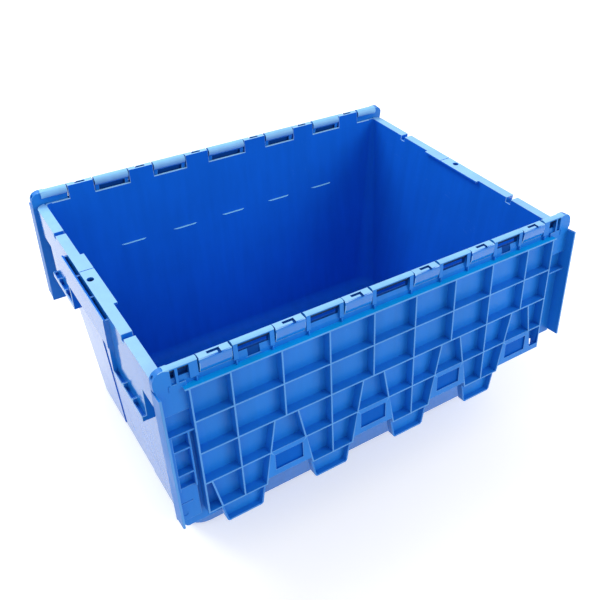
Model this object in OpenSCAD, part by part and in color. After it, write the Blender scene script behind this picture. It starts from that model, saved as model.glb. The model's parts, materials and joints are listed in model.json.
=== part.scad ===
// Stacking crate with two attached lid halves that swing down along its long sides.
// Millimetres, +Z up, standing on z = 0, long sides along X.

/* [Tub] */
// Length of the opening between the end walls, at the rim
opening_l = 534; // [514:1:546]
// Width of the opening between the long walls, at the rim
opening_w = 381; // [375:1:389]
// Height of the end rims above the ground
rim_h = 300; // [270:1:360]
// Length of the tub at the ground
foot_l = 507; // [480:1:514]
// Width of the tub at the ground
foot_w = 318; // [290:1:330]
// Thickness of the tub walls
wall_t = 2.8; // [2.4:0.1:3]
// Thickness of the tub floor
floor_t = 3.2; // [2.5:0.1:5]
// Corner radius of the tub at the rim
top_corner_r = 8; // [6:1:14]
// Corner radius of the tub at the ground
foot_corner_r = 30; // [20:1:36]
// Chamfer round the bottom edge
foot_chamfer = 5; // [3:0.5:8]
// Radius of the rounded inner edge between the floor and the walls
floor_r = 14; // [8:1:15]

/* [Wall panels] */
// Width of each upright flute in a long wall
flute_w = 29; // [20:1:46]
// Spacing of the flutes along a long wall
flute_pitch = 80.5; // [70:0.5:90]
// Height of the flute heads above the ground
flute_top = 213; // [160:1:230]
// Number of flutes on each side of the middle one
flutes_beside = 2; // [1:1:2]
// Step of each flute head toward the inside
flute_step = 2.8; // [1.5:0.1:3]
// Width over which the sides of a flute run out
flute_side = 7; // [4:0.5:10]
// Width of the set-back panel in an end wall
panel_w = 104; // [80:1:130]
// Height of the set-back panel above the ground
panel_top = 236; // [180:1:240]
// Depth of the end panel in the outer face
panel_step = 1; // [0.6:0.1:1.4]
// Chamfer on the inner top edge of the long walls
edge_chamfer = 0.8; // [0.6:0.1:1.2]

/* [End rims] */
// Reach of the end rims beyond the end walls
rim_reach = 10.2; // [10:0.1:14]
// Thickness of the rim tops
rim_t = 3; // [2.5:0.1:4]
// Corner radius of the rims, seen from above
rim_corner_r = 12; // [9:1:16]
// Width of the wider middle of a rim
shelf_w = 110; // [90:1:140]
// Reach of the wider middle over the opening
shelf_step = 4.5; // [3:0.5:7]
// Spacing of the two slots across a rim
notch_span = 226; // [200:2:250]
// Width of each slot
notch_w = 8; // [5:0.5:12]
// Depth of each slot below the rim top
notch_depth = 7; // [4:0.5:10]
// Diameter of the seal hole in the middle of a rim
seal_hole_d = 8.5; // [6:0.5:8.5]
// Offset of the witness groove from the seal hole
groove_offset = 20; // [14:1:30]
// Width of the witness groove
groove_w = 1.2; // [0.8:0.1:2]
// Depth of the witness groove
groove_depth = 0.8; // [0.4:0.1:1.2]

/* [End skirts and handles] */
// Thickness of the skirts and ribs under the rims
skirt_t = 2.5; // [2:0.1:2.8]
// Height of the skirt round each rim corner
corner_skirt_h = 40; // [30:1:50]
// Width of the corner opening under that skirt
corner_gap_w = 40; // [25:1:50]
// Width of the handle box
handle_w = 142; // [120:1:160]
// Height of the handle box
handle_h = 40; // [34:1:50]
// Reach of the handle box beyond the rim
handle_proud = 6; // [5.5:0.5:12]
// Gap between a closed lid skirt and the handle box
handle_gap = 1.5; // [1:0.1:3]
// Depth of the open pockets in the handle box
pocket_depth = 22; // [16:1:26]
// Height of the ledge below the rim, beside the handle box
ledge_drop = 83; // [78:1:86]
// Thickness of the ledge
ledge_t = 3; // [2.5:0.1:4]
// Reach of the ledge beyond the rim
ledge_proud = 5; // [4:0.5:8]
// Height of the lip along the edge of the ledge
ledge_lip_h = 4; // [2:0.5:5]
// Thickness of that lip
ledge_lip_t = 1.6; // [1.2:0.1:2]
// Height of the small ribs on the ledge
ledge_rib_h = 9; // [6:0.5:12]

/* [Hinges] */
// Height of the hinge line above the end rims
axis_rise = 12.5; // [12:0.1:14]
// Distance of the hinge line outside the opening
axis_out = 6.3; // [6:0.1:6.6]
// Diameter of the hinge barrels
barrel_d = 12.4; // [11.6:0.1:12.6]
// Diameter of the hinge rods
rod_d = 4; // [3:0.1:5]
// Distance of the rod ends inside the hinge row
rod_inset = 1.7; // [1:0.1:6]
// Radial room between a rod and the tub barrels
rod_seat_gap = 0.04; // [0.02:0.01:0.08]
// Radial room between a rod and the lid barrels
rod_run_gap = 0.07; // [0.04:0.01:0.1]
// Width of each tub barrel
knuckle_w = 35.4; // [30:0.2:40]
// Width of the lid barrel in the middle of the hinge
mid_bar_w = 57; // [50:0.5:60]
// Width of the other lid barrels between tub barrels
bar_w = 47.2; // [42:0.2:50]
// Distance of the hinge row's ends from the lid ends
hinge_margin = 13; // [12.6:0.1:16]
// Side gap between neighbouring barrels
barrel_gap = 1.2; // [0.6:0.1:1.4]
// Length of the slot on top of a tub barrel
slot_l = 13; // [8:0.5:18]
// Width of the slot on top of a tub barrel
slot_w = 3.4; // [2:0.1:4]
// Depth of the slot on top of a tub barrel
slot_depth = 3.2; // [1.5:0.1:3.4]
// Height of the flat tub barrel tops above the hinge line
knuckle_top = 4.8; // [4.6:0.1:5.4]
// Depth of the tub barrel fronts below the hinge line
knuckle_drop = 12.1; // [9:0.1:12.1]
// Height of the sloping foot of a tub barrel front
knuckle_foot = 5.6; // [3:0.1:6]
// Set-back of that foot
knuckle_back = 1.6; // [1.6:0.1:3]
// Distance of the flat lid barrel fronts from the hinge line
front_drop = 4.5; // [4.4:0.1:5.4]
// Height of the opening in a lid barrel above the hinge line
bar_open = 3; // [2:0.1:3.6]
// Thickness of the web behind a lid barrel's opening
web_t = 1.2; // [1:0.1:1.6]
// Distance of the lower edge of that opening from the hinge line
web_end = 8.5; // [7:0.1:9]
// Depth of that edge below the hinge line
web_drop = 0.8; // [0.4:0.1:1.4]
// Distance of the gutter behind a lid barrel from the hinge line
gutter_start = 5.5; // [5:0.1:6.5]
// Distance of the lower end of that gutter from the hinge line
gutter_end = 17.5; // [14:0.5:17.5]
// Depth of that gutter in the lid's top face
gutter_depth = 3.6; // [3:0.1:3.6]

/* [Lid plates] */
// Lean of the hanging lids away from the tub, in degrees
lid_lean = 6; // [6:0.5:12]
// Thickness of the lid plates
plate_t = 2.5; // [2:0.1:3]
// Height of a closed lid's top face above the hinge line
plate_rise = 4; // [3.6:0.1:4.2]
// Distance of the plate edge from the hinge line
plate_start = 13.5; // [13.4:0.1:15]
// Corner radius of the plates at the hinge
plate_corner_r = 12; // [8:1:16]
// Reach of the plate ends past the hinge line
plate_lap = 5.4; // [4:0.1:6]
// Gap between the meeting edges of the closed lids
meet_gap = 1.6; // [1.2:0.1:3]
// Thickness of the lid end skirts
lid_skirt_t = 2.6; // [2:0.1:3]
// Side gap between a lid skirt and the rim
lid_skirt_gap = 1.2; // [1:0.1:2]
// Depth of the lid skirts below the hinge line
lid_skirt_drop = 16; // [13:0.5:18]
// Distance of the skirt top from the hinge line
lid_skirt_start = 18; // [16:1:26]
// Distance of the skirt end from the meeting edge, at the tab end
lid_skirt_short = 2; // [1:1:10]
// Distance of the skirt end from the meeting edge, at the plain end
plain_skirt_short = 21; // [19:1:30]
// Reach of the end tab past the middle of the crate
tab_reach = 16; // [10:0.5:18]
// Distance of the tab from the lid end
tab_in = 7; // [5:0.5:12]
// Corner radius of the tab
tab_r = 7; // [3:0.5:8]
// Height gap between a tab and the ribs of the other lid
tab_gap = 0.7; // [0.4:0.1:1]

/* [Lid ribs] */
// Depth of the ribs below the hinge line
rib_drop = 10.4; // [9.4:0.1:11]
// Thickness of the ribs
rib_t = 2; // [1.6:0.1:2.6]
// Width of the margin between the rib frame and the lid end
margin_w = 32.3; // [26:0.1:36]
// Distance of the rib frame from the hinge line
frame_start = 20; // [18:0.5:24]
// Depth of the strip between the hinge windows and the rib frame
strip_drop = 2; // [0:0.1:2]
// Reach of the first level rib past the rib frame
ear_l = 4; // [2:0.5:8]
// Spacing of the upright ribs and half the tooth pitch
cell_pitch = 58.9; // [56:0.1:60]
// Width of the posts that carry the lid barrels
post_w = 5.5; // [4:0.1:7]
// Distance of the thin post from the outer end of an end barrel
end_post_in = 12; // [10:0.5:14]
// Width of the wide post at the inner end of an end barrel
end_post_w = 9.5; // [7:0.5:12]
// Width of the small gussets under the posts
gusset_w = 1.6; // [1.2:0.1:2.4]
// Width of the deeper step in two of the hinge windows
step_w = 14; // [8:0.5:18]
// Depth of that step in the plate edge
step_d = 4.5; // [2:0.1:5]

/* [Lid teeth] */
// Reach of the teeth past the middle of the crate
tooth_reach = 31; // [26:0.5:34]
// Lean of the tooth flanks, sideways per unit of reach
tooth_slope = 0.186; // [0.12:0.002:0.22]
// Tip corner radius of the teeth
tooth_r = 5; // [3:0.5:7]
// Depth of the shallow tip rims below the hinge line
tip_drop = 5.6; // [3:0.1:6]
// Height gap between the tongues and the tooth tips of the other lid
tongue_gap = 0.8; // [0.5:0.1:1.2]
// Distance of the tongue ends short of the middle
tongue_short = 9; // [7:0.5:14]
// Width of the recess in a tongue
window_w = 36; // [20:1:38]
// Height of the recess in a tongue
window_h = 22; // [12:0.5:24]
// Distance of the recess from the rib above it
window_start = 7; // [3:0.5:9]
// Thickness of the tongue behind the recess
window_floor = 1.6; // [1.2:0.1:2]
// Height of the rail that runs on from the last tongue
rail_h = 8; // [5:0.5:12]

/* [Lid margins] */
// Depth of the margin ribs below the hinge line
ladder_drop = 8; // [5:0.1:10]
// Distance of the first margin rib from the hinge line, at both ends
ladder_1 = 72.6; // [60:0.1:84]
// Distance of the second margin rib from the hinge line, at the tab end
ladder_2 = 93.8; // [88:0.1:110]
// Distance of the third margin rib from the hinge line, at the tab end
ladder_3 = 127; // [114:0.5:140]
// Distance of the end of the upper margin block from the hinge line
block_end = 49; // [40:0.5:58]
// Distance of the start of the lower margin block from the hinge line
low_block_start = 148.5; // [140:0.5:156]
// Width of the rail between the margin cells and the skirt
rail_w = 5; // [3:0.5:7]
// Width of the channel between the margin cells and the rib frame
channel_w = 5.7; // [4:0.1:8]
// Distance of the short groove in the lower block from the hinge line
dash_at = 169.5; // [160:0.5:175]
// Length of the short groove
dash_l = 17; // [10:0.5:20]
// Width of the short groove
dash_w = 1.6; // [1:0.1:2.4]
// Depth of the short groove
dash_depth = 1; // [0.5:0.1:1.5]
// Distance of the ejector mark in the lower block from the hinge line
mark_at = 186; // [180:0.5:190]
// Diameter of the ejector mark
mark_d = 6; // [4:0.5:8]
// Depth of the ejector mark
mark_depth = 0.5; // [0.3:0.1:1]

/* [Hidden] */
$fn = 48;
over = 1;
// the tip arcs stay this far inside the tooth flanks
arc_room = 0.05;
// the barrel webs stand this far behind the inner face of the wall
flush_room = 0.05;
corner_steps = 8;
floor_steps = 8;
pocket_count = 3;
row_count = 4;
tooth_cells = [-3.5, -1.5, 0.5, 2.5];
gap_cells = [-2.5, -0.5, 1.5];
last_cell = 3.5;
barrel_r = barrel_d / 2;
axis_z = rim_h + axis_rise;
axis_y = opening_w / 2 + axis_out;
knuckle_1 = mid_bar_w / 2 + barrel_gap + knuckle_w / 2;
knuckle_step = knuckle_w + bar_w + 2 * barrel_gap;
knuckle_at = [for (i = [0:2]) knuckle_1 + i * knuckle_step];
bar_at = [for (i = [0:1]) knuckle_1 + (i + 0.5) * knuckle_step];
end_bar_in = knuckle_at[2] + knuckle_w / 2 + barrel_gap;
rim_half = opening_l / 2 + wall_t + rim_reach;
lid_half = rim_half + lid_skirt_gap + lid_skirt_t;
lid_l = 2 * lid_half;
end_bar_out = lid_half - hinge_margin;
end_bar_w = end_bar_out - end_bar_in;
rod_l = 2 * (end_bar_out - rod_inset);
plate_low = plate_rise - plate_t;
lid_edge = axis_y - meet_gap / 2;
notch_floor = axis_y - tooth_reach - meet_gap;
tip_u = axis_y + tooth_reach;
flank_mid = (cell_pitch - meet_gap) / 2;
flank_norm = sqrt(1 + tooth_slope * tooth_slope);
row_pitch = (lid_edge - rib_t - frame_start) / row_count;
rows = [for (i = [0:row_count]) frame_start + i * row_pitch];
teeth_at = [for (k = tooth_cells) k * cell_pitch];
gaps_at = [for (k = gap_cells) k * cell_pitch];
last_gap = last_cell * cell_pitch;
last_side = last_gap + cell_pitch;
deep_end = rows[4] + rib_t;
tongue_end = axis_y - tongue_short;
tongue_t = rib_drop - tip_drop - tongue_gap;
tab_end = axis_y + tab_reach;
plain_end = axis_y - tab_reach - meet_gap;
frame_half = lid_half - margin_w;
frame_l = 2 * frame_half;
skirt_in = lid_half - lid_skirt_t;
cell_in = frame_half + channel_w;
skirt_low = axis_z - lid_skirt_drop;
web_low = plate_rise - web_t;
gutter_floor = plate_rise - gutter_depth;
handle_top = skirt_low - handle_gap;
handle_out = rim_half + handle_proud;
side_out = opening_w / 2 + wall_t;
corner_in = side_out - corner_gap_w;
ledge_low = rim_h - ledge_drop - ledge_t;
pocket_w = (handle_w - skirt_t) / pocket_count;
seal_x = opening_l / 2 + wall_t + (rim_reach - skirt_t) / 2;

// Outer and inner half sizes of the tub at height z, and its corner radius there
function out_x(z) = (foot_l + (opening_l + 2 * wall_t - foot_l) * z / rim_h) / 2;
function out_y(z) = (foot_w + (opening_w + 2 * wall_t - foot_w) * z / rim_h) / 2;
function in_x(z) = out_x(z) - wall_t;
function in_y(z) = out_y(z) - wall_t;
function corner_at(z) = foot_corner_r + (top_corner_r - foot_corner_r) * z / rim_h;
// Half width of a tooth at distance u from the hinge line
function flank(u) = flank_mid - tooth_slope * (u - axis_y);

// Points of a rounded rectangle with half sizes x and y
function turn(a, i) = a + 90 * i / corner_steps;
function quarter(x, y, r, a) =
  [for (i = [0:corner_steps]) [x + r * cos(turn(a, i)), y + r * sin(turn(a, i))]];
function round_box(x, y, r) =
  concat(quarter(x - r, y - r, r, 0), quarter(r - x, y - r, r, 90),
         quarter(r - x, r - y, r, 180), quarter(x - r, r - y, r, 270));

// Rings of the tub at height z, drawn smaller all round by inset: half sizes, corner radius, height
function out_ring(z, inset) = [out_x(z) - inset, out_y(z) - inset, corner_at(z) - inset, z];
function in_ring(z, inset) = out_ring(z, wall_t + inset);
function floor_ring(a) = in_ring(floor_t + floor_r * (1 - cos(a)), floor_r * (1 - sin(a)));

// Straight-sided solid through a stack of such rings
module stack(rings) {
  n = 4 * (corner_steps + 1);
  last = len(rings) - 1;
  points = [for (g = rings) for (p = round_box(g[0], g[1], g[2])) [p[0], p[1], g[3]]];
  sides = [for (k = [0:last - 1]) for (i = [0:n - 1])
           [k * n + i, (k + 1) * n + i, (k + 1) * n + (i + 1) % n, k * n + (i + 1) % n]];
  bottom = [for (i = [0:n - 1]) i];
  top = [for (i = [0:n - 1]) (last + 1) * n - 1 - i];
  polyhedron(points, concat([bottom, top], sides));
}

// Profile in Y and Z carried along X from x0 to x1
module along_x(x0, x1) {
  translate([x0, 0, 0]) rotate([90, 0, 90]) linear_extrude(x1 - x0) children();
}

// Profile in X and Z carried along Y from y0 to y1
module along_y(y0, y1) {
  translate([0, y1, 0]) rotate([90, 0, 0]) linear_extrude(y1 - y0) children();
}

module box(x0, x1, y0, y1, z0, z1) {
  translate([x0, y0, z0]) cube([x1 - x0, y1 - y0, z1 - z0]);
}

module half_turn() {
  children();
  rotate([0, 0, 180]) children();
}

module both_ends() {
  children();
  mirror([1, 0, 0]) children();
}

module both_sides() {
  children();
  mirror([0, 1, 0]) children();
}

// Rounded rectangle with half sizes x and y
module rounded(x, y, r) {
  square([2 * (x - r), 2 * y], center = true);
  square([2 * x, 2 * (y - r)], center = true);
  for (i = [-1, 1])
    for (j = [-1, 1])
      translate([i * (x - r), j * (y - r)]) circle(r);
}

// Band along the outer face of a sloping end wall
module panel_band(z0, z1) {
  polygon([[out_x(z0) - panel_step, z0], [out_x(z0) + foot_chamfer, z0],
           [out_x(z1) + foot_chamfer, z1], [out_x(z1) - panel_step, z1]]);
}

// Wedge along a long wall, proud at its head and flush lower down; shift moves it outward
module flute(head, shift, half) {
  foot = floor_t;
  y_head = in_y(head) + shift;
  y_foot = in_y(foot) + shift + wall_t / 2;
  wide = half + flute_side;
  polyhedron([[-wide, y_head + wall_t / 2, head], [wide, y_head + wall_t / 2, head],
              [-half, y_head - flute_step, head], [half, y_head - flute_step, head],
              [-wide, y_foot, foot], [wide, y_foot, foot]],
             [[0, 1, 3, 2], [2, 3, 5, 4], [1, 0, 4, 5], [0, 2, 4], [1, 5, 3]]);
}

// Tapered shell with upright flutes in its long walls and set-back panels in its ends
module shell() {
  difference() {
    union() {
      difference() {
        stack([out_ring(0, foot_chamfer), out_ring(foot_chamfer, 0), out_ring(rim_h, 0)]);
        stack(concat([for (i = [0:floor_steps]) floor_ring(90 * i / floor_steps)],
                     [in_ring(rim_h + over, 0)]));
      }
      both_sides()
        for (i = [-flutes_beside:flutes_beside])
          translate([i * flute_pitch, 0, 0]) flute(flute_top, 0, flute_w / 2);
    }
    both_sides() {
      for (i = [-flutes_beside:flutes_beside])
        translate([i * flute_pitch, 0, 0]) flute(flute_top - wall_t, wall_t, flute_w / 2 - wall_t);
      along_x(top_corner_r - opening_l / 2, opening_l / 2 - top_corner_r)
        polygon([[opening_w / 2 - over, rim_h + over], [opening_w / 2 - over, rim_h - edge_chamfer - over],
                 [opening_w / 2 + edge_chamfer + over, rim_h + over]]);
    }
    both_ends()
      along_y(-panel_w / 2, panel_w / 2) panel_band(-over, panel_top);
  }
}

// Plan of one end rim beyond x_in; inset draws it smaller all round
module rim_plan(x_in, inset) {
  intersection() {
    rounded(rim_half - inset, side_out - inset, rim_corner_r - inset);
    translate([x_in, -side_out]) square([rim_half - x_in, 2 * side_out]);
  }
}

// Half outline of the end skirt, seen from the end
module skirt_half() {
  pocket_low = handle_top - pocket_depth - skirt_t;
  polygon([[0, rim_h], [0, pocket_low], [handle_w / 2, pocket_low], [handle_w / 2, ledge_low],
           [corner_in, ledge_low], [corner_in, rim_h - corner_skirt_h],
           [side_out + over, rim_h - corner_skirt_h], [side_out + over, rim_h]]);
}

// Side profile of a rib behind the skirt, from height low to the rim and out to x
module rib_profile(low, x) {
  polygon([[out_x(low) - wall_t / 2, low], [x, low], [x, handle_top - over],
           [rim_half - over, handle_top - over], [rim_half - over, rim_h - over],
           [in_x(rim_h) + wall_t / 2, rim_h - over]]);
}

// One end: rim, skirt, handle box, ledges and the ribs behind them
module end_work() {
  x_wall = in_x(rim_h) + wall_t / 2;
  x_low = out_x(ledge_low) - wall_t / 2;
  x_lip = rim_half + ledge_proud;
  ledge_top = ledge_low + ledge_t;
  handle_low = handle_top - handle_h;
  pocket_floor = handle_top - pocket_depth;
  translate([0, 0, rim_h - rim_t]) linear_extrude(rim_t) rim_plan(x_wall, 0);
  box(in_x(rim_h) - shelf_step, x_wall + over, -shelf_w / 2, shelf_w / 2, rim_h - rim_t, rim_h);
  intersection() {
    translate([0, 0, ledge_low]) linear_extrude(rim_h - ledge_low)
      difference() {
        rim_plan(x_wall + over, 0);
        rim_plan(x_wall, skirt_t);
      }
    along_x(x_low, rim_half + over) {
      skirt_half();
      mirror([1, 0]) skirt_half();
    }
  }
  // front wall, ribs and pocket floor of the handle box; its outer ribs run down to the ledge
  box(handle_out - skirt_t, handle_out, -handle_w / 2, handle_w / 2, handle_low, handle_top);
  for (k = [0:pocket_count]) {
    y = k * pocket_w - handle_w / 2;
    low = k == 0 || k == pocket_count ? ledge_low : handle_low;
    along_y(y, y + skirt_t) rib_profile(low, handle_out - over);
  }
  box(rim_half - skirt_t, handle_out - over, -handle_w / 2, handle_w / 2,
      pocket_floor - skirt_t, pocket_floor);
  both_sides() {
    // trough under the slot across the rim
    box(x_wall, rim_half - over, (notch_span - notch_w) / 2 - skirt_t, (notch_span + notch_w) / 2 + skirt_t,
        rim_h - notch_depth - skirt_t, rim_h - over);
    // ledge from the handle box to the corner opening, with its lip, its end and its two small ribs
    box(x_low, x_lip, handle_w / 2 - over, corner_in, ledge_low, ledge_top);
    box(x_lip - ledge_lip_t, x_lip, handle_w / 2 - over, corner_in, ledge_low, ledge_top + ledge_lip_h);
    box(rim_half - over, x_lip, corner_in - skirt_t, corner_in, ledge_low, ledge_top + ledge_lip_h);
    for (k = [1, 2]) {
      y = handle_w / 2 + k * (corner_in - handle_w / 2) / 3;
      box(rim_half - over, x_lip, y, y + skirt_t, ledge_low, ledge_top + ledge_rib_h);
    }
    // ribs from the end wall to the skirt
    for (y = [corner_in - skirt_t, (corner_in + handle_w / 2) / 2])
      along_y(y, y + skirt_t) rib_profile(ledge_low, rim_half - over);
  }
}

// Slots, seal hole and witness groove in one rim
module end_cuts() {
  x_edge = in_x(rim_h) - shelf_step - over;
  both_sides()
    box(x_edge, rim_half + over, (notch_span - notch_w) / 2, (notch_span + notch_w) / 2,
        rim_h - notch_depth, rim_h + over);
  translate([seal_x, 0, rim_h - rim_t - over]) cylinder(d = seal_hole_d, h = rim_t + 2 * over);
  box(x_edge, rim_half + over, groove_offset - groove_w / 2, groove_offset + groove_w / 2,
      rim_h - groove_depth, rim_h + over);
}

// Side profile of a tub barrel and of the web that carries it, flush with the inner face of the wall
module knuckle_profile() {
  front = axis_y + barrel_r;
  low = axis_z - knuckle_drop;
  foot = rim_h - rim_t;
  top = axis_z + barrel_r + over;
  y_foot = in_y(foot) + flush_room;
  difference() {
    union() {
      translate([axis_y, axis_z]) circle(barrel_r);
      polygon([[y_foot, axis_z], [y_foot, foot], [side_out, foot], [side_out, low],
               [front - knuckle_back, low], [front, low + knuckle_foot], [front, axis_z]]);
    }
    polygon([[in_y(foot - over) + flush_room, foot - over], [in_y(top) + flush_room, top],
             [y_foot - over, top], [y_foot - over, foot - over]]);
    translate([y_foot - over, axis_z + knuckle_top]) square([front - y_foot + 2 * over, barrel_r]);
  }
}

// One hinge row of the tub, on the +Y side
module knuckles() {
  for (s = [-1, 1])
    for (x = knuckle_at) {
      difference() {
        along_x(s * x - knuckle_w / 2, s * x + knuckle_w / 2) knuckle_profile();
        box(s * x - slot_l / 2, s * x + slot_l / 2, axis_y - slot_w / 2, axis_y + slot_w / 2,
            axis_z + barrel_r - slot_depth, axis_z + barrel_r + over);
        box(s * x - slot_l / 2, s * x - slot_l / 2 + slot_w, axis_y, axis_y + barrel_r,
            axis_z + barrel_r - slot_depth, axis_z + barrel_r + over);
      }
    }
}

module tub() {
  color("royalblue")
    difference() {
      union() {
        shell();
        both_ends() end_work();
        half_turn() knuckles();
      }
      both_ends() end_cuts();
      half_turn()
        translate([-lid_half, axis_y, axis_z]) rotate([0, 90, 0])
          cylinder(r = rod_d / 2 + rod_seat_gap, h = lid_l);
    }
}

// Outline of a tooth around its own middle, from u0 to its tip; inset draws it smaller
module tooth_plan(u0, inset) {
  tip = tip_u - inset;
  r = tooth_r - inset;
  uc = tip - r;
  xc = flank(uc) - (inset + r) * flank_norm;
  x0 = flank(u0) - inset * flank_norm;
  tx = xc + r / flank_norm;
  tu = uc + r * tooth_slope / flank_norm;
  polygon([[-x0, u0], [x0, u0], [tx, tu], [xc, tip], [-xc, tip], [-tx, tu]]);
  for (s = [-1, 1])
    translate([s * xc, uc]) circle(r - arc_room);
}

// Corner of the lid plate beside the end of the hinge row
module plate_corner() {
  x_in = end_bar_out - post_w;
  x_arc = lid_half - plate_corner_r;
  translate([x_in, -plate_lap]) square([x_arc - x_in, plate_start + plate_lap + over]);
  translate([x_in, plate_corner_r - plate_lap])
    square([lid_half - x_in, plate_start + plate_lap - plate_corner_r + over]);
  intersection() {
    translate([x_arc, plate_corner_r - plate_lap]) circle(plate_corner_r);
    translate([x_in, -plate_lap]) square([lid_half - x_in, plate_start + plate_lap]);
  }
}

// Tab at one end of the lid, beside the first tooth
module tab_plan() {
  x0 = tab_in - lid_half;
  x1 = teeth_at[0] - flank(tab_end) + over;
  translate([x0, lid_edge - over]) square([x1 - x0, tab_end - tab_r - lid_edge + over]);
  translate([x0 + tab_r, lid_edge - over]) square([x1 - x0 - tab_r, tab_end - lid_edge + over]);
  translate([x0 + tab_r, tab_end - tab_r]) circle(tab_r);
}

// Outline of the lid plate from the hinge edge to the teeth
module plate_plan() {
  low = notch_floor - over;
  translate([-lid_half, plate_start]) square([lid_l, notch_floor - plate_start]);
  for (x = teeth_at)
    translate([x, 0]) tooth_plan(low, 0);
  polygon([[-lid_half, low], [-lid_half, lid_edge], [teeth_at[0] - flank(lid_edge) + over, lid_edge],
           [teeth_at[0] - flank(notch_floor) + over, low]]);
  polygon([[lid_half, low], [lid_half, plain_end], [last_side - flank(plain_end), plain_end],
           [last_side - flank(notch_floor), low]]);
  tab_plan();
  plate_corner();
  mirror([1, 0]) plate_corner();
}

// Band along the edge of a tooth at x
module tooth_ring(x) {
  translate([x, 0]) difference() {
    tooth_plan(rows[2], 0);
    tooth_plan(rows[2] - over, rib_t);
  }
}

// Upright, level and slanting ribs of the frame, all of full depth
module rib_plan() {
  translate([-frame_half, frame_start]) square([rib_t, lid_edge - frame_start]);
  translate([frame_half - rib_t, frame_start]) square([rib_t, tongue_end - frame_start]);
  translate([-frame_half - ear_l, rows[0]]) square([frame_l + 2 * ear_l, rib_t]);
  for (i = [1:3])
    translate([-frame_half, rows[i]]) square([frame_l, rib_t]);
  for (x = concat(gaps_at, [last_gap]))
    translate([x - rib_t / 2, frame_start]) square([rib_t, rows[2] - frame_start + rib_t]);
  for (x = teeth_at) {
    left = x == teeth_at[0] ? rows[3] : rows[2];
    translate([x - rib_t / 2, frame_start]) square([rib_t, deep_end - frame_start]);
    translate([x - flank(rows[4]) + rib_t, rows[4]]) square([2 * (flank(rows[4]) - rib_t), rib_t]);
    intersection() {
      tooth_ring(x);
      union() {
        translate([x - cell_pitch, left]) square([cell_pitch, deep_end - left]);
        translate([x, rows[2]]) square([cell_pitch, deep_end - rows[2]]);
      }
    }
  }
  translate([-frame_half, rows[4]]) square([teeth_at[0] - flank(rows[4]) + frame_half + rib_t, rib_t]);
  intersection() {
    tooth_ring(last_side);
    translate([last_gap, rows[2]]) square([frame_half - last_gap, tongue_end - rows[2]]);
  }
}

// Shallow rims round the tooth tips
module tip_plan() {
  for (x = teeth_at)
    intersection() {
      tooth_ring(x);
      translate([x - cell_pitch, deep_end - over]) square([2 * cell_pitch, tip_u - deep_end + 2 * over]);
    }
}

// Tongue under the gap between two teeth
module tongue_plan(x) {
  x_top = cell_pitch - flank(rows[3]) + rib_t;
  x_end = cell_pitch - flank(tongue_end) + rib_t;
  polygon([[x - x_top, rows[3]], [x + x_top, rows[3]], [x + x_end, tongue_end], [x - x_end, tongue_end]]);
}

// Post from the plate to a lid barrel
module post(x0, x1) {
  box(x0, x1, -bar_open, plate_start + over, -front_drop, plate_rise);
}

// Lid barrel between x0 and x1, flat and hollow at its front, with the web that joins it to the plate
// and a post and a gusset at each end
module bar(x0, x1) {
  far = barrel_r + over;
  difference() {
    translate([x0, 0, 0]) rotate([0, 90, 0]) cylinder(r = barrel_r, h = x1 - x0);
    box(x0 - over, x1 + over, -far, far, -far, -front_drop);
    box(x0 + post_w, x1 - post_w, -bar_open, far, -far, web_low);
  }
  along_x(x0, x1)
    polygon([[0, plate_rise], [0, web_low], [web_end, web_low], [web_end, -web_drop],
             [plate_start, -strip_drop], [plate_start + over, -strip_drop],
             [plate_start + over, plate_rise]]);
  for (x = [x0, x1 - post_w]) {
    x_mid = x + post_w / 2;
    post(x, x + post_w);
    box(x_mid - gusset_w / 2, x_mid + gusset_w / 2, plate_start + over, frame_start + over,
        -rib_drop / 2, plate_rise - over);
  }
}

// Gutter in the lid's top face along a barrel of width w at x, between its posts
module gutter(x, w) {
  reach = w / 2 - post_w;
  box(x - reach, x + reach, gutter_start, gutter_end, gutter_floor, plate_rise + over);
}

// Skirt, upper block and first rib of the margin at one end
module margin(skirt_end) {
  x_out = skirt_in + over;
  x_in = frame_half - over;
  top = plate_rise - over;
  box(skirt_in, lid_half, lid_skirt_start, skirt_end, -lid_skirt_drop, plate_rise);
  box(x_in, x_out, ladder_1, ladder_1 + rib_t, -ladder_drop, top);
  box(x_in, x_out, plate_start + over, block_end, -front_drop, top);
  translate([0, 0, -front_drop]) linear_extrude(front_drop + top) plate_corner();
}

// Margin cells, lower block and its marks at the tab end
module ladder() {
  x_out = skirt_in + over;
  top = plate_rise - over;
  cells = low_block_start + over - ladder_1;
  for (u = [ladder_2, ladder_3])
    box(cell_in, x_out, u, u + rib_t, -ladder_drop, top);
  box(skirt_in - rail_w, x_out, ladder_1, ladder_1 + cells, -ladder_drop, top);
  box(cell_in, cell_in + rib_t, ladder_1, ladder_1 + cells, -ladder_drop, top);
  difference() {
    box(cell_in, x_out, low_block_start, lid_edge, -front_drop, top);
    box(skirt_in - dash_l, skirt_in, dash_at, dash_at + dash_w,
        -front_drop - over, dash_depth - front_drop);
    translate([skirt_in - mark_d, mark_at, -front_drop - over]) cylinder(d = mark_d, h = over + mark_depth);
  }
}

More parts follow.
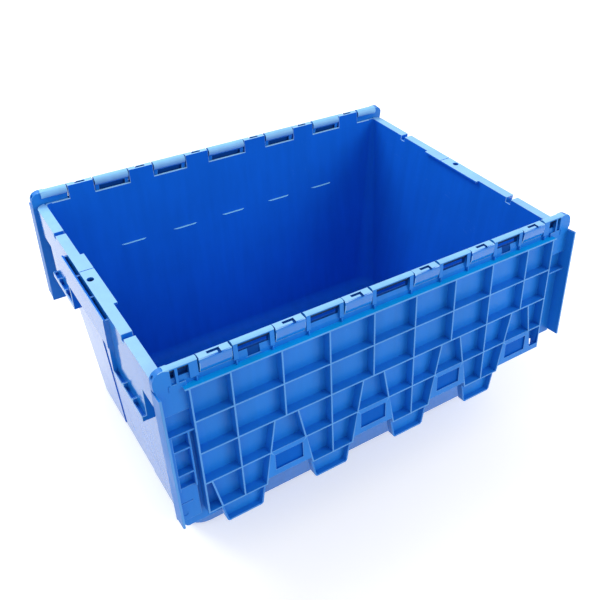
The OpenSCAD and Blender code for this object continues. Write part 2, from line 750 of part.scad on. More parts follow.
// One lid half, closed, with the hinge line on X and its free edge toward +Y
module lid() {
  x_thin = end_bar_out - end_post_in;
  x_wide = end_bar_in + end_post_w;
  difference() {
    union() {
      translate([0, 0, plate_low]) linear_extrude(plate_t) plate_plan();
      translate([0, 0, -rib_drop]) linear_extrude(rib_drop + plate_low + over) rib_plan();
      translate([0, 0, -tip_drop]) linear_extrude(tip_drop + plate_low + over) tip_plan();
      translate([0, 0, -rib_drop]) linear_extrude(tongue_t) {
        for (x = concat(gaps_at, [last_gap]))
          tongue_plan(x);
        translate([last_gap, tongue_end - rail_h]) square([frame_half - last_gap, rail_h]);
      }
      box(-frame_half, frame_half, plate_start, frame_start + over, -strip_drop, plate_low + over);
      mirror([1, 0, 0]) {
        margin(lid_edge - lid_skirt_short);
        ladder();
      }
      margin(lid_edge - plain_skirt_short);
      bar(-mid_bar_w / 2, mid_bar_w / 2);
      both_ends() {
        for (x = bar_at)
          bar(x - bar_w / 2, x + bar_w / 2);
        bar(end_bar_in, end_bar_out);
        post(x_thin - gusset_w, x_thin + gusset_w);
        post(end_bar_in, x_wide);
      }
    }
    translate([-lid_half, 0, 0]) rotate([0, 90, 0])
      cylinder(r = rod_d / 2 + rod_run_gap, h = lid_l);
    gutter(0, mid_bar_w);
    both_ends() {
      for (x = bar_at)
        gutter(x, bar_w);
      box(bar_at[1] - step_w / 2, bar_at[1] + step_w / 2, web_end - over, plate_start + step_d,
          -strip_drop - over, gutter_floor - web_t);
    }
    for (x = concat(gaps_at, [last_gap]))
      box(x - window_w / 2, x + window_w / 2, rows[3] + window_start, rows[3] + window_start + window_h,
          -rib_drop - over, tongue_t - rib_drop - window_floor);
    // room for the tab of the other lid
    box(last_gap, lid_half + over, plain_end, tongue_end + over, plate_low - tab_gap, plate_rise + over);
  }
}

module front_lid() {
  color("cornflowerblue")
    translate([0, -axis_y, axis_z]) rotate([270 - lid_lean, 0, 0]) lid();
}

module rear_lid() {
  color("cornflowerblue")
    rotate([0, 0, 180]) translate([0, -axis_y, axis_z]) rotate([270 - lid_lean, 0, 0]) lid();
}

module rod() {
  translate([-rod_l / 2, -axis_y, axis_z]) rotate([0, 90, 0]) cylinder(d = rod_d, h = rod_l);
}

module front_hinge_rod() {
  color("silver") rod();
}

module rear_hinge_rod() {
  color("silver") rotate([0, 0, 180]) rod();
}

tub();
front_lid();
rear_lid();
front_hinge_rod();
rear_hinge_rod();
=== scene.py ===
"""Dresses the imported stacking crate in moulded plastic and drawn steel, and sets its studio."""

import json
import math

import bmesh
import bpy
from mathutils import Matrix, Vector

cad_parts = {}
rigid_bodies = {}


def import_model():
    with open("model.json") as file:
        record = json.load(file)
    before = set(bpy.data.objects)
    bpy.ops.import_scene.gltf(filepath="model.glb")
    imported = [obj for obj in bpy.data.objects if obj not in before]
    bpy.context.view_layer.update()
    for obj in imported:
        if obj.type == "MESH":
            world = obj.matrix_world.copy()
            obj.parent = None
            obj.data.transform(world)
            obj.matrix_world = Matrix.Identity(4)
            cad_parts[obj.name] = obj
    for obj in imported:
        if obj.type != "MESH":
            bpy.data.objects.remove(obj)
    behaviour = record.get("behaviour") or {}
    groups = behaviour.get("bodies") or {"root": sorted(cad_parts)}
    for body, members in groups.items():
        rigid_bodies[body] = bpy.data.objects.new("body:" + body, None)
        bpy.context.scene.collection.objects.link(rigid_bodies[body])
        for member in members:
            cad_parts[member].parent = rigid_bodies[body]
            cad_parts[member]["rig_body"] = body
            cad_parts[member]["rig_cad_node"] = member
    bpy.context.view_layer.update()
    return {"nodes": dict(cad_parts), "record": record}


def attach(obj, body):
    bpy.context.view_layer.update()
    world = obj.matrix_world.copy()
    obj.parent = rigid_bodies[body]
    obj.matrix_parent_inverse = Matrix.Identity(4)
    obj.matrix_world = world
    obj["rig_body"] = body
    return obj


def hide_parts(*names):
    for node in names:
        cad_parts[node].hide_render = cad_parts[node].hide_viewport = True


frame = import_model()

bl_info = {
    "name": "Stacking Crate",
    "version": (1, 0, 0),
    "blender": (4, 5, 0),
    "location": "View3D > Sidebar > Crate",
    "description": "Rounds the moulded edges of a crate with attached lids, finishes it and lights it",
    "category": "Object",
}

MILLIMETRE = 0.001

# joining and rounding of the meshes
MERGE_DISTANCE = 0.01 * MILLIMETRE
FLAT_TURN, ANY_SHAPE = math.radians(1.0), math.radians(180.0)
SMOOTH_TURN = math.radians(50.0)
# an edge is rounded where both its faces are wider than this many times the rounding
ROUNDING_ROOM = 2.2

# heights and places of the CAD model that the finishes, with their painted highlight and shade, follow
HINGE_Y, HINGE_Z = (abs(value) for value in frame["record"]["behaviour"]["joints"][0]["pos_m"][1:])
LID_LEAN = math.radians(6.0)
RIM_LEVEL = 0.296
SEAM_PLACE, SEAM_WIDTH = 0.189, 0.0004
FLUTE_LEVEL, NOTCH_LEVEL = 0.213, 0.300
SLOT_LEVELS, SLOT_REACH = (0.3152, 0.31725), 0.0035
# the same on the lids, down from the hinge line (reach) and outward from it (depth)
RIB_DEPTH, RIB_WIDTH = 0.0098, 0.0024
BARREL_INSIDE, BARREL_REACH = 0.0060, 0.0030
HOLLOW_REACH, HOLLOW_DEPTH, HOLLOW_HALF = (-0.0031, 0.0176), (-0.0039, 0.0044), 0.2665
STRIP_START, HIGHLIGHT_START = (0.0084, 0.0010), 0.0095
LEDGE_REACH, LEDGE_DEPTH = (0.0190, 0.0205), 0.0022
RECESS_REACH, RECESS_DEPTH = (0.1560, 0.1810), (0.0078, 0.0097)
# how far a face looks up or outward, from its normal; these pick the faces that take painted highlight, and
# the up-facing faces that join the tub's painted-shade inside
RIM_FACING, FLOOR_FACING, LEDGE_FACING, RIB_FACING = 0.55, 0.5, 0.9, 0.97

# places of the finishes in a piece's list: the plain plastic, a paler copy painted as highlight on rims,
# ribs and rounded edges, a dark copy painted as shade in the hinge's slots and hollows, the tub's outside
# or the lids' barrels (a paler copy as painted highlight on these), a bright copy painted as highlight on
# the tub's flute heads and the lids' ledges, and a dark copy painted as shade in the lids' recesses
PLAIN, PAINTED_HIGHLIGHT, HOLLOW_SHADE, APART, LEDGE_HIGHLIGHT, RECESS_SHADE = range(6)

# patterns of the plastic, in turns for each metre along x, y and z
CLOUD, STREAK = (9.0, 9.0, 9.0), (70.0, 70.0, 5.0)
SCRATCH, SCRATCHED_PATCH = (260.0, 45.0, 160.0), (14.0, 14.0, 14.0)
WEAR, GRAIN = (30.0, 30.0, 30.0), (1500.0, 1500.0, 1500.0)
CLOUD_SHARE, STREAK_SHARE = 0.6, 0.4
DARK_TINT, BRIGHT_TINT = 0.90, 1.08
SCUFF_SHARE, SCUFF_PALENESS, SCUFF_ROUGHNESS = 0.35, 0.5, 0.2
SMOOTHER, ROUGHER = 0.05, 0.06
GRAIN_STRENGTH, GRAIN_HEIGHT = 0.6, 0.08 * MILLIMETRE
PLASTIC_IOR = 1.49
# patterns of the steel
DRAW_LINES, FILM = (12.0, 2600.0, 2600.0), (60.0, 60.0, 60.0)
CLEAN_TINT, FILM_TINT, EDGE_TINT = 1.05, 0.78, 0.5
STEEL_ROUGHNESS = (0.36, 0.52)
LINE_STRENGTH, LINE_HEIGHT = 0.15, 0.03 * MILLIMETRE
# colour sockets of the Mix node
MIX_FIRST, MIX_SECOND, MIX_RESULT = 6, 7, 2

# studio
SENSOR_WIDTH, CLIP_START = 36.0, 0.01
LAMP_SIZE, LAMP_AIM = (1.2, 1.2), (0.0, 0.0, 0.2)
BACK_LAMP_PLACE, FRONT_LAMP_PLACE = (-0.6, 1.1, 2.0), (1.5, -2.0, 1.45)
FLOOR_SIZE, FLOOR_CLOUD, FLOOR_ROUGHNESS = 14.0, (3.0, 3.0, 3.0), 0.9
FLOOR_DARK, FLOOR_BRIGHT = 0.99, 1.01
WHITE = (1.0, 1.0, 1.0, 1.0)


class CrateEdges(bpy.types.PropertyGroup):
    """Rounding of the moulded and cut edges"""

    tub: bpy.props.FloatProperty(
        name="Tub edges", description="Rounding of the tub's outer edges",
        default=0.6 * MILLIMETRE, min=0.0, unit="LENGTH")
    lid: bpy.props.FloatProperty(
        name="Lid edges", description="Rounding of the lids' ribs, teeth and plate edges",
        default=0.45 * MILLIMETRE, min=0.0, unit="LENGTH")
    rod: bpy.props.FloatProperty(
        name="Rod ends", description="Rounding of the cut rod ends",
        default=0.5 * MILLIMETRE, min=0.0, unit="LENGTH")
    segments: bpy.props.IntProperty(
        name="Segments", description="Faces across a rounded edge", default=2, min=1, max=6)
    turn: bpy.props.FloatProperty(
        name="Least turn", description="Edges that turn less than this stay as they are",
        default=math.radians(32), subtype="ANGLE")


class CrateFinish(bpy.types.PropertyGroup):
    """Colours and surface of the plastic and the steel"""

    # painted shade: the tub's inside and its up-facing faces take this darker copy of the plastic in place
    # of the shade that falls into the tub; the outside takes the lid colour
    tub_shaded_color: bpy.props.FloatVectorProperty(
        name="Tub inside", description="Colour of the tub's plastic where it is sheltered",
        default=(0.006, 0.138, 0.660), size=3, min=0.0, max=1.0, subtype="COLOR")
    lid_color: bpy.props.FloatVectorProperty(
        name="Lids and outside", description="Colour of the plastic of the lids and of the tub's outside",
        default=(0.010, 0.190, 0.660), size=3, min=0.0, max=1.0, subtype="COLOR")
    # painted shade: a dark copy of the plastic that stands for the shade in the hinge's slots, notch floors
    # and hollows
    hollow_shade_color: bpy.props.FloatVectorProperty(
        name="Hollows", description="Colour of the greasy plastic in the slots and hollows of the hinge",
        default=(0.004, 0.060, 0.300), size=3, min=0.0, max=1.0, subtype="COLOR")
    # painted highlight: a bright colour for the up-facing ledge below the hinge, which stands for the top
    # light on it
    ledge_highlight_color: bpy.props.FloatVectorProperty(
        name="Lid ledges", description="Colour of the bright ledge between a lid's hinge and its ribs",
        default=(0.003, 0.370, 0.900), size=3, min=0.0, max=1.0, subtype="COLOR")
    # painted shade: a darker copy that stands for the shade inside the tongues' recesses
    recess_shade_color: bpy.props.FloatVectorProperty(
        name="Recesses", description="Colour of the sheltered recesses in the lids' tongues",
        default=(0.003, 0.105, 0.520), size=3, min=0.0, max=1.0, subtype="COLOR")
    # painted highlight: a bright colour that stands for the glint on the up-facing flute heads inside the
    # tub
    flute_head_highlight_color: bpy.props.FloatVectorProperty(
        name="Flute heads", description="Colour of the bright heads of the flutes inside the tub",
        default=(0.300, 0.740, 1.000), size=3, min=0.0, max=1.0, subtype="COLOR")
    # the pale tint serves both the real scuffs and the painted highlights on rims, edges and barrels
    wear_and_highlight_color: bpy.props.FloatVectorProperty(
        name="Worn plastic", description="Pale tint that rubbed plastic moves toward",
        default=(0.280, 0.600, 0.880), size=3, min=0.0, max=1.0, subtype="COLOR")
    steel_color: bpy.props.FloatVectorProperty(
        name="Rod steel", description="Colour of the hinge rods",
        default=(0.020, 0.045, 0.110), size=3, min=0.0, max=1.0, subtype="COLOR")
    # painted highlight: how far the up-facing rims, the rounded tub edges and the lids' barrels are moved
    # toward the pale tint
    rim_and_barrel_highlight: bpy.props.FloatProperty(
        name="Tub wear", description="How far the rubbed rims and barrels are bleached",
        default=0.80, min=0.0, max=1.0, subtype="FACTOR")
    # painted highlight: how far the lids' rib faces and rounded edges are moved toward the pale tint
    lid_edge_highlight: bpy.props.FloatProperty(
        name="Lid wear", description="How far the rubbed ribs and edges of the lids are bleached",
        default=0.28, min=0.0, max=1.0, subtype="FACTOR")
    roughness: bpy.props.FloatProperty(
        name="Roughness", description="Roughness of the plastic",
        default=0.38, min=0.0, max=1.0, subtype="FACTOR")
    outside_roughness: bpy.props.FloatProperty(
        name="Outside roughness", description="Roughness of the smoother outside of the tub",
        default=0.10, min=0.0, max=1.0, subtype="FACTOR")
    gloss: bpy.props.FloatProperty(
        name="Gloss", description="Strength of the highlights on the tub's outside and rims",
        default=0.62, min=0.0, max=1.0, subtype="FACTOR")
    lid_gloss: bpy.props.FloatProperty(
        name="Lid gloss", description="Strength of the highlights on the lids",
        default=0.25, min=0.0, max=1.0, subtype="FACTOR")
    inside_gloss: bpy.props.FloatProperty(
        name="Inside gloss", description="Strength of the highlights on sheltered and textured plastic",
        default=0.03, min=0.0, max=1.0, subtype="FACTOR")


class CrateStudio(bpy.types.PropertyGroup):
    """Camera, lamps and floor"""

    azimuth: bpy.props.FloatProperty(
        name="Azimuth", description="Direction of the camera around the crate",
        default=math.radians(-32.74), subtype="ANGLE")
    elevation: bpy.props.FloatProperty(
        name="Elevation", description="Height angle of the camera",
        default=math.radians(37.8), subtype="ANGLE")
    roll: bpy.props.FloatProperty(
        name="Roll", description="Turn of the camera about its own axis",
        default=math.radians(0.83), subtype="ANGLE")
    place: bpy.props.FloatVectorProperty(
        name="Camera place", description="Where the camera stands",
        default=(-0.4258, -0.6746, 0.7789), size=3, subtype="TRANSLATION", unit="LENGTH")
    lens: bpy.props.FloatProperty(
        name="Lens", description="Focal length of the camera in millimetres", default=42.91, min=1.0)
    floor_color: bpy.props.FloatVectorProperty(
        name="Floor", description="Colour of the studio floor",
        default=(0.86, 0.86, 0.86), size=3, min=0.0, max=1.0, subtype="COLOR")
    floor_glow: bpy.props.FloatProperty(
        name="Floor glow", description="White that the camera sees added to the floor",
        default=0.35, min=0.0)
    ambient: bpy.props.FloatProperty(
        name="Ambient", description="Strength of the light from all round", default=0.75, min=0.0)
    back_lamp: bpy.props.FloatProperty(
        name="Back lamp", description="Power of the high lamp behind", default=30.0, min=0.0, unit="POWER")
    front_lamp: bpy.props.FloatProperty(
        name="Front lamp", description="Power of the lamp in front", default=24.0, min=0.0, unit="POWER")


def pick_alone(obj):
    """Selects one object and nothing else."""
    bpy.ops.object.select_all(action="DESELECT")
    obj.select_set(True)
    bpy.context.view_layer.objects.active = obj


def copy_of_node(node, name):
    """A copy of a CAD node with its loose triangles joined into quads."""
    pick_alone(frame["nodes"][node])
    bpy.ops.object.duplicate()
    piece = bpy.context.view_layer.objects.active
    piece.name = name
    piece.data.name = name
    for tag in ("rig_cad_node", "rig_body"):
        if tag in piece:
            del piece[tag]
    piece.parent = None
    piece.matrix_world = Matrix.Identity(4)
    piece.data.materials.clear()
    bpy.ops.object.mode_set(mode="EDIT")
    bpy.ops.mesh.select_mode(type="VERT")
    bpy.ops.mesh.select_all(action="SELECT")
    bpy.ops.mesh.customdata_custom_splitnormals_clear()
    bpy.ops.mesh.remove_doubles(threshold=MERGE_DISTANCE)
    bpy.ops.mesh.tris_convert_to_quads(face_threshold=FLAT_TURN, shape_threshold=ANY_SHAPE)
    bpy.ops.object.mode_set(mode="OBJECT")
    return piece


def face_width(face):
    """Rough width of a face across its longest edge."""
    return face.calc_area() / max(edge.calc_length() for edge in face.edges)


def mark_moulded_edges(piece, width, least_turn):
    """Weights the outward edges that a mould would round."""
    bpy.ops.object.mode_set(mode="EDIT")
    mesh = bmesh.from_edit_mesh(piece.data)
    layers = mesh.edges.layers.float
    weight = layers.get("bevel_weight_edge") or layers.new("bevel_weight_edge")
    for edge in mesh.edges:
        if len(edge.link_faces) != 2 or edge.calc_face_angle_signed() < least_turn:
            continue
        if min(face_width(face) for face in edge.link_faces) > ROUNDING_ROOM * width:
            edge[weight] = 1.0
    bmesh.update_edit_mesh(piece.data)
    bpy.ops.object.mode_set(mode="OBJECT")


def round_moulded_edges(piece, width, finishes):
    """Rounds the outward edges and keeps the flat faces flat; the rounded faces take the paler copy painted
    as highlight.
    """
    edges = bpy.context.scene.crate_edges
    for finish in finishes:
        piece.data.materials.append(finish)
    mark_moulded_edges(piece, width, edges.turn)
    bevel = piece.modifiers.new("Moulded edges", "BEVEL")
    bevel.limit_method = "WEIGHT"
    bevel.width = width
    bevel.segments = edges.segments
    bevel.use_clamp_overlap = False
    bevel.miter_outer = "MITER_SHARP"
    # the rounded faces take the paler copy, a painted highlight along the edges
    bevel.material = PAINTED_HIGHLIGHT
    pick_alone(piece)
    bpy.ops.object.modifier_apply(modifier=bevel.name)
    bpy.ops.object.mode_set(mode="EDIT")
    bpy.ops.mesh.select_all(action="SELECT")
    bpy.ops.mesh.dissolve_degenerate(threshold=MERGE_DISTANCE)
    bpy.ops.object.mode_set(mode="OBJECT")
    bpy.ops.object.shade_smooth_by_angle(angle=SMOOTH_TURN)
    flat = piece.modifiers.new("Flat faces", "WEIGHTED_NORMAL")
    flat.keep_sharp = True
    bpy.ops.object.modifier_apply(modifier=flat.name)


class NodeBench:
    """Adds and joins the nodes of one material."""

    def __init__(self, name):
        self.material = bpy.data.materials.new(name)
        self.material.use_nodes = True
        self.tree = self.material.node_tree
        self.shader = self.tree.nodes["Principled BSDF"]
        self.place = self.add("ShaderNodeTexCoord").outputs["Object"]

    def add(self, kind, **settings):
        """A new node with some of its settings."""
        node = self.tree.nodes.new(kind)
        for key, value in settings.items():
            setattr(node, key, value)
        return node

    def join(self, output, socket):
        """Links an output to a socket."""
        self.tree.links.new(output, socket)

    def noise(self, stretch, detail=4.0, roughness=0.55, distortion=0.0):
        """A noise over the piece's own place."""
        mapping = self.add("ShaderNodeMapping")
        mapping.inputs["Scale"].default_value = stretch
        self.join(self.place, mapping.inputs["Vector"])
        noise = self.add("ShaderNodeTexNoise")
        noise.inputs["Scale"].default_value = 1.0
        noise.inputs["Detail"].default_value = detail
        noise.inputs["Roughness"].default_value = roughness
        noise.inputs["Distortion"].default_value = distortion
        self.join(mapping.outputs["Vector"], noise.inputs["Vector"])
        return noise.outputs["Fac"]

    def fit(self, value, from_low, from_high, to_low=0.0, to_high=1.0):
        """A value moved from one range into another, and kept inside it."""
        node = self.add("ShaderNodeMapRange", clamp=True)
        sockets = ("From Min", "From Max", "To Min", "To Max")
        for socket, number in zip(sockets, (from_low, from_high, to_low, to_high)):
            node.inputs[socket].default_value = number
        self.join(value, node.inputs["Value"])
        return node.outputs["Result"]

    def calculate(self, operation, first, second):
        """Two values, or a value and a number, brought together."""
        node = self.add("ShaderNodeMath", operation=operation)
        for socket, value in zip(node.inputs, (first, second)):
            if isinstance(value, float):
                socket.default_value = value
            else:
                self.join(value, socket)
        return node.outputs["Value"]

    def mix(self, factor, first, second):
        """Two colours mixed."""
        node = self.add("ShaderNodeMix", data_type="RGBA")
        self.join(factor, node.inputs["Factor"])
        for socket, value in ((node.inputs[MIX_FIRST], first), (node.inputs[MIX_SECOND], second)):
            if isinstance(value, tuple):
                socket.default_value = value
            else:
                self.join(value, socket)
        return node.outputs[MIX_RESULT]

    def emboss(self, height, strength, distance):
        """Bump from a height."""
        bump = self.add("ShaderNodeBump")
        bump.inputs["Strength"].default_value = strength
        bump.inputs["Distance"].default_value = distance
        self.join(height, bump.inputs["Height"])
        self.join(bump.outputs["Normal"], self.shader.inputs["Normal"])


def shade(color, factor):
    """A colour made darker or brighter."""
    return tuple(min(1.0, channel * factor) for channel in color) + (1.0,)


def paler(color, share):
    """A colour moved toward the pale tint of worn plastic, which the scuffs use and which also paints the
    highlights on rims, edges and barrels.
    """
    worn = bpy.context.scene.crate_finish.wear_and_highlight_color
    return tuple(channel + share * (pale - channel) for channel, pale in zip(color, worn))


def moulded_plastic(name, color, gloss, roughness):
    """Satin polypropylene: cloudy tint, upright flow streaks, fine mould grain and light scuffs."""
    bench = NodeBench(name)
    cloud = bench.fit(bench.noise(CLOUD), 0.3, 0.7)
    streak = bench.fit(bench.noise(STREAK, detail=3.0), 0.35, 0.65)
    blend = bench.calculate("ADD", bench.calculate("MULTIPLY", cloud, CLOUD_SHARE),
                            bench.calculate("MULTIPLY", streak, STREAK_SHARE))
    tint = bench.mix(blend, shade(color, DARK_TINT), shade(color, BRIGHT_TINT))
    scratch = bench.noise(SCRATCH, detail=6.0, roughness=0.7, distortion=1.2)
    scuff = bench.calculate("MULTIPLY", bench.fit(scratch, 0.62, 0.74, 0.0, SCUFF_SHARE),
                            bench.fit(bench.noise(SCRATCHED_PATCH), 0.5, 0.7))
    scuffed = shade(paler(color, SCUFF_PALENESS), 1.0)
    bench.join(bench.mix(scuff, tint, scuffed), bench.shader.inputs["Base Color"])
    worn = bench.fit(bench.noise(WEAR, detail=5.0), 0.3, 0.7, roughness - SMOOTHER, roughness + ROUGHER)
    bench.join(bench.calculate("ADD", worn, bench.calculate("MULTIPLY", scuff, SCUFF_ROUGHNESS)),
               bench.shader.inputs["Roughness"])
    bench.emboss(bench.noise(GRAIN, detail=2.0), GRAIN_STRENGTH * roughness, GRAIN_HEIGHT)
    bench.shader.inputs["IOR"].default_value = PLASTIC_IOR
    bench.shader.inputs["Specular IOR Level"].default_value = gloss
    return bench.material


def drawn_steel(name, color):
    """Dark drawn wire with draw lines along its length and a little grey film."""
    bench = NodeBench(name)
    lines = bench.noise(DRAW_LINES, detail=3.0)
    film = bench.fit(bench.noise(FILM), 0.4, 0.7)
    bench.join(bench.mix(film, shade(color, CLEAN_TINT), shade(color, FILM_TINT)),
               bench.shader.inputs["Base Color"])
    bench.join(bench.fit(lines, 0.3, 0.7, *STEEL_ROUGHNESS), bench.shader.inputs["Roughness"])
    bench.emboss(lines, LINE_STRENGTH, LINE_HEIGHT)
    bench.shader.inputs["Metallic"].default_value = 1.0
    bench.shader.inputs["Specular Tint"].default_value = shade(color, EDGE_TINT)
    return bench.material


def finish_faces(piece, choose):
    """Gives each face the finish chosen for it."""
    points = piece.data.vertices
    for face in piece.data.polygons:
        longest = max((points[a].co - points[b].co).length for a, b in face.edge_keys)
        face.material_index = choose(face, face.area / longest)


def between(value, limits):
    """Whether a value lies between two limits."""
    return limits[0] < value < limits[1]


def tub_finish(face, width):
    """Painted highlight on the rims, barrels, rounded edges and flute heads, painted shade in the hinge
    slots and notch floors, and a darker copy of the plastic over the inside as painted shade.
    """
    place, normal = face.center, face.normal
    # painted shade in the hinge slots and in the notch floors of the front wall
    if between(place.z, SLOT_LEVELS) and abs(abs(place.y) - HINGE_Y) < SLOT_REACH:
        return HOLLOW_SHADE
    in_window = place.y < -SEAM_PLACE and abs(place.x) < HOLLOW_HALF
    if in_window and abs(place.z - NOTCH_LEVEL) < MILLIMETRE:
        return HOLLOW_SHADE
    # painted highlight on the rounded edges, except at the flute heads
    if face.material_index == PAINTED_HIGHLIGHT and abs(place.z - FLUTE_LEVEL) > MILLIMETRE:
        return PAINTED_HIGHLIGHT
    seam = width < SEAM_WIDTH and abs(place.y) > SEAM_PLACE
    # painted highlight on the up-facing rims and barrel tops
    if place.z > RIM_LEVEL and normal.z > RIM_FACING and not seam:
        return PAINTED_HIGHLIGHT
    # painted highlight on the up-facing flute heads
    if abs(place.z - FLUTE_LEVEL) < MILLIMETRE and normal.z > FLOOR_FACING:
        return LEDGE_HIGHLIGHT
    # painted shade: faces that look inward or up take the darker inside copy, the rest the outside colour
    in_painted_shade = place.x * normal.x + place.y * normal.y < 0.0 or normal.z > FLOOR_FACING
    return PLAIN if in_painted_shade else APART


def lid_place(point):
    """Distances of a point on a hanging lid from its hinge line, down the lid and outward across it."""
    out, up = abs(point.y) - HINGE_Y, point.z - HINGE_Z
    return (out * math.sin(LID_LEAN) - up * math.cos(LID_LEAN),
            out * math.cos(LID_LEAN) + up * math.sin(LID_LEAN))


def in_shaded_hollow(reach, depth):
    """Whether a place on a lid lies in a barrel's hollow or in the gutter behind it, where the dark copy is
    painted as shade.
    """
    if not (between(reach, HOLLOW_REACH) and between(depth, HOLLOW_DEPTH)):
        return False
    on_strip = reach > STRIP_START[0] and depth > STRIP_START[1]
    on_barrel = reach < BARREL_INSIDE < math.hypot(reach, depth)
    return not on_strip and not on_barrel


def lid_finish(face, width):
    """Painted highlight on the ribs, rounded edges, barrels and a ledge, and painted shade in the hinge
    hollows and the tongues' recesses.
    """
    reach, depth = lid_place(face.center)
    # painted shade in the barrels' hollows and the gutters behind them
    if abs(face.center.x) < HOLLOW_HALF and in_shaded_hollow(reach, depth):
        return HOLLOW_SHADE
    # painted highlight: the lids' barrels take a paler copy of the plastic
    if reach < BARREL_REACH and BARREL_INSIDE < math.hypot(reach, depth):
        return APART
    # painted highlight on the up-facing ledge below the hinge
    if between(reach, LEDGE_REACH) and depth > LEDGE_DEPTH and face.normal.z > LEDGE_FACING:
        return LEDGE_HIGHLIGHT
    # painted shade in the tongues' recesses
    if between(reach, RECESS_REACH) and between(depth, RECESS_DEPTH):
        return RECESS_SHADE
    # painted highlight on the rounded edges below the hinge strip
    if face.material_index == PAINTED_HIGHLIGHT:
        return PAINTED_HIGHLIGHT if reach > HIGHLIGHT_START else PLAIN
    # painted highlight on the narrow outward faces of the ribs
    if abs(face.normal.y) > RIB_FACING and depth > RIB_DEPTH and width < RIB_WIDTH:
        return PAINTED_HIGHLIGHT
    return PLAIN


def plastics(group, kinds):
    """The finishes of a moulded piece, in the order of their places."""
    return [moulded_plastic(f"{group}_plastic_{name}", color, gloss, roughness)
            for name, color, gloss, roughness in kinds]


def dress(piece, body, node):
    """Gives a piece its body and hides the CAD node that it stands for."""
    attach(piece, body)
    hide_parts(node)


class CRATE_OT_mould_tub(bpy.types.Operator):
    """Round the tub's edges and give it its plastic"""

    bl_idname = "crate.mould_tub"
    bl_label = "Mould Tub"

    def execute(self, context):
        finish = context.scene.crate_finish
        # the tub's finishes start from the darker copy that paints the shade inside it
        color = tuple(finish.tub_shaded_color)
        finishes = plastics("tub", (
            # painted shade: the darker copy of the plastic for the tub's inside
            ("inside", color, finish.inside_gloss, finish.roughness),
            # painted highlight: a paler copy for the rims and rounded edges
            ("edge", paler(color, finish.rim_and_barrel_highlight), finish.gloss, finish.roughness),
            # painted shade: the dark copy for the hinge slots and notch floors
            ("hollow", tuple(finish.hollow_shade_color), finish.inside_gloss, finish.roughness),
            ("outside", tuple(finish.lid_color), finish.gloss, finish.outside_roughness),
            # painted highlight: the bright copy for the flute heads
            ("heads", tuple(finish.flute_head_highlight_color), finish.inside_gloss, finish.roughness)))
        piece = copy_of_node("tub", "moulded_tub")
        round_moulded_edges(piece, context.scene.crate_edges.tub, finishes)
        finish_faces(piece, tub_finish)
        dress(piece, "tub", "tub")
        return {"FINISHED"}


class CRATE_OT_mould_lids(bpy.types.Operator):
    """Round the edges of both lid halves and give them their plastic"""

    bl_idname = "crate.mould_lids"
    bl_label = "Mould Lids"

    def execute(self, context):
        finish = context.scene.crate_finish
        color = tuple(finish.lid_color)
        finishes = plastics("lid", (
            ("face", color, finish.lid_gloss, finish.roughness),
            # painted highlight: a paler copy for the lids' ribs and rounded edges
            ("edge", paler(color, finish.lid_edge_highlight), finish.lid_gloss, finish.roughness),
            # painted shade: the dark copy for the barrels' hollows
            ("hollow", tuple(finish.hollow_shade_color), finish.inside_gloss, finish.roughness),
            # painted highlight: a paler copy for the lids' barrels
            ("barrel", paler(color, finish.rim_and_barrel_highlight), finish.lid_gloss, finish.roughness),
            # painted highlight: the bright copy for the lids' ledges
            ("ledge", tuple(finish.ledge_highlight_color), finish.inside_gloss, finish.roughness),
            # painted shade: the darker copy for the tongues' recesses
            ("recess", tuple(finish.recess_shade_color), finish.inside_gloss, finish.roughness)))
        for node in ("front_lid", "rear_lid"):
            piece = copy_of_node(node, "moulded_" + node)
            round_moulded_edges(piece, context.scene.crate_edges.lid, finishes)
            finish_faces(piece, lid_finish)
            dress(piece, node, node)
        return {"FINISHED"}


class CRATE_OT_draw_rods(bpy.types.Operator):
    """Round the rod ends and give the rods their steel"""

    bl_idname = "crate.draw_rods"
    bl_label = "Draw Rods"

    def execute(self, context):
        steel = drawn_steel("rod_steel_drawn", tuple(context.scene.crate_finish.steel_color))
        for node in ("front_hinge_rod", "rear_hinge_rod"):
            piece = copy_of_node(node, "drawn_" + node)
            round_moulded_edges(piece, context.scene.crate_edges.rod, (steel, steel))
            dress(piece, "tub", node)
        return {"FINISHED"}


def soft_lamp(name, place, power):
    """A square soft lamp that points at the crate."""
    lamp = bpy.data.lights.new(name, "AREA")
    lamp.shape = "RECTANGLE"
    lamp.size, lamp.size_y = LAMP_SIZE
    lamp.energy = power
    stand = bpy.data.objects.new(name, lamp)
    bpy.context.scene.collection.objects.link(stand)
    stand.location = place
    stand.rotation_euler = (Vector(LAMP_AIM) - Vector(place)).to_track_quat("-Z", "Y").to_euler()


def studio_camera(studio):
    """The camera at the viewing angle of the photograph."""
    azimuth, elevation = studio.azimuth, studio.elevation
    back = Vector((math.sin(azimuth) * math.cos(elevation), -math.cos(azimuth) * math.cos(elevation),
                   math.sin(elevation)))
    level = Vector((math.cos(azimuth), math.sin(azimuth), 0.0))
    upright = back.cross(level)
    right = level * math.cos(studio.roll) + upright * math.sin(studio.roll)
    up = back.cross(right)
    camera = bpy.data.cameras.new("studio_camera")
    camera.sensor_fit = "HORIZONTAL"
    camera.sensor_width = SENSOR_WIDTH
    camera.lens = studio.lens
    camera.clip_start = CLIP_START
    stand = bpy.data.objects.new("studio_camera", camera)
    bpy.context.scene.collection.objects.link(stand)
    turn = Matrix((right, up, back)).transposed().to_4x4()
    stand.matrix_world = Matrix.Translation(Vector(studio.place)) @ turn
    bpy.context.scene.camera = stand


def seen_rays(tree):
    """One where the camera looks, straight on, by reflection or through glass, and zero elsewhere."""
    path = tree.nodes.new("ShaderNodeLightPath")
    seen = path.outputs["Is Camera Ray"]
    for ray in ("Is Glossy Ray", "Is Transmission Ray"):
        either = tree.nodes.new("ShaderNodeMath")
        either.operation = "MAXIMUM"
        tree.links.new(seen, either.inputs[0])
        tree.links.new(path.outputs[ray], either.inputs[1])
        seen = either.outputs[0]
    return seen


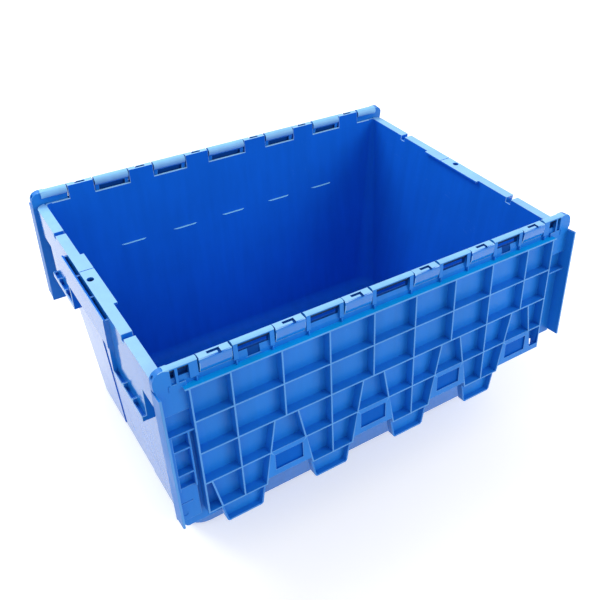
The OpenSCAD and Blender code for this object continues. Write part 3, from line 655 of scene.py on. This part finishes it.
def studio_world(studio):
    """White behind the crate, and an even light from all round."""
    world = bpy.data.worlds.new("studio_world")
    bpy.context.scene.world = world
    world.use_nodes = True
    nodes, links = world.node_tree.nodes, world.node_tree.links
    seen = seen_rays(world.node_tree)
    level = nodes.new("ShaderNodeMapRange")
    level.inputs["To Min"].default_value = studio.ambient
    level.inputs["To Max"].default_value = 1.0
    links.new(seen, level.inputs["Value"])
    background = nodes["Background"]
    background.inputs["Color"].default_value = WHITE
    links.new(level.outputs["Result"], background.inputs["Strength"])


def studio_floor(studio):
    """A plain pale floor under the crate."""
    bpy.ops.object.select_all(action="DESELECT")
    bpy.ops.mesh.primitive_plane_add(size=FLOOR_SIZE)
    floor = bpy.context.view_layer.objects.active
    floor.name = "studio_floor"
    bench = NodeBench("floor_paper")
    cloud = bench.fit(bench.noise(FLOOR_CLOUD), 0.3, 0.7)
    paper = bench.mix(cloud, shade(studio.floor_color, FLOOR_DARK), shade(studio.floor_color, FLOOR_BRIGHT))
    bench.join(paper, bench.shader.inputs["Base Color"])
    bench.shader.inputs["Roughness"].default_value = FLOOR_ROUGHNESS
    bench.shader.inputs["Specular IOR Level"].default_value = 0.0
    bench.shader.inputs["Emission Color"].default_value = WHITE
    glow = bench.fit(seen_rays(bench.tree), 0.0, 1.0, 0.0, studio.floor_glow)
    bench.join(glow, bench.shader.inputs["Emission Strength"])
    floor.data.materials.append(bench.material)


class CRATE_OT_set_stage(bpy.types.Operator):
    """Set the floor, the lamps and the camera"""

    bl_idname = "crate.set_stage"
    bl_label = "Set Stage"

    def execute(self, context):
        studio = context.scene.crate_studio
        context.scene.view_settings.view_transform = "Standard"
        studio_camera(studio)
        studio_world(studio)
        studio_floor(studio)
        soft_lamp("back_lamp", BACK_LAMP_PLACE, studio.back_lamp)
        soft_lamp("front_lamp", FRONT_LAMP_PLACE, studio.front_lamp)
        return {"FINISHED"}


class CRATE_PT_build(bpy.types.Panel):
    """Steps that dress the crate, in order"""

    bl_idname = "CRATE_PT_build"
    bl_label = "Stacking Crate"
    bl_space_type = "VIEW_3D"
    bl_region_type = "UI"
    bl_category = "Crate"

    def draw(self, context):
        for step in STEPS:
            self.layout.operator(step.bl_idname)
        for group in GROUPS:
            settings = getattr(context.scene, group)
            box = self.layout.box()
            for name in settings.__annotations__:
                box.prop(settings, name)


STEPS = (CRATE_OT_mould_tub, CRATE_OT_mould_lids, CRATE_OT_draw_rods, CRATE_OT_set_stage)
GROUPS = {"crate_edges": CrateEdges, "crate_finish": CrateFinish, "crate_studio": CrateStudio}


def register():
    for kind in (*GROUPS.values(), *STEPS, CRATE_PT_build):
        bpy.utils.register_class(kind)
    for name, group in GROUPS.items():
        setattr(bpy.types.Scene, name, bpy.props.PointerProperty(type=group))


def unregister():
    for name in GROUPS:
        delattr(bpy.types.Scene, name)
    for kind in reversed((*GROUPS.values(), *STEPS, CRATE_PT_build)):
        bpy.utils.unregister_class(kind)


def main():
    register()
    bpy.ops.crate.mould_tub()
    bpy.ops.crate.mould_lids()
    bpy.ops.crate.draw_rods()
    bpy.ops.crate.set_stage()


if __name__ == "__main__":
    main()
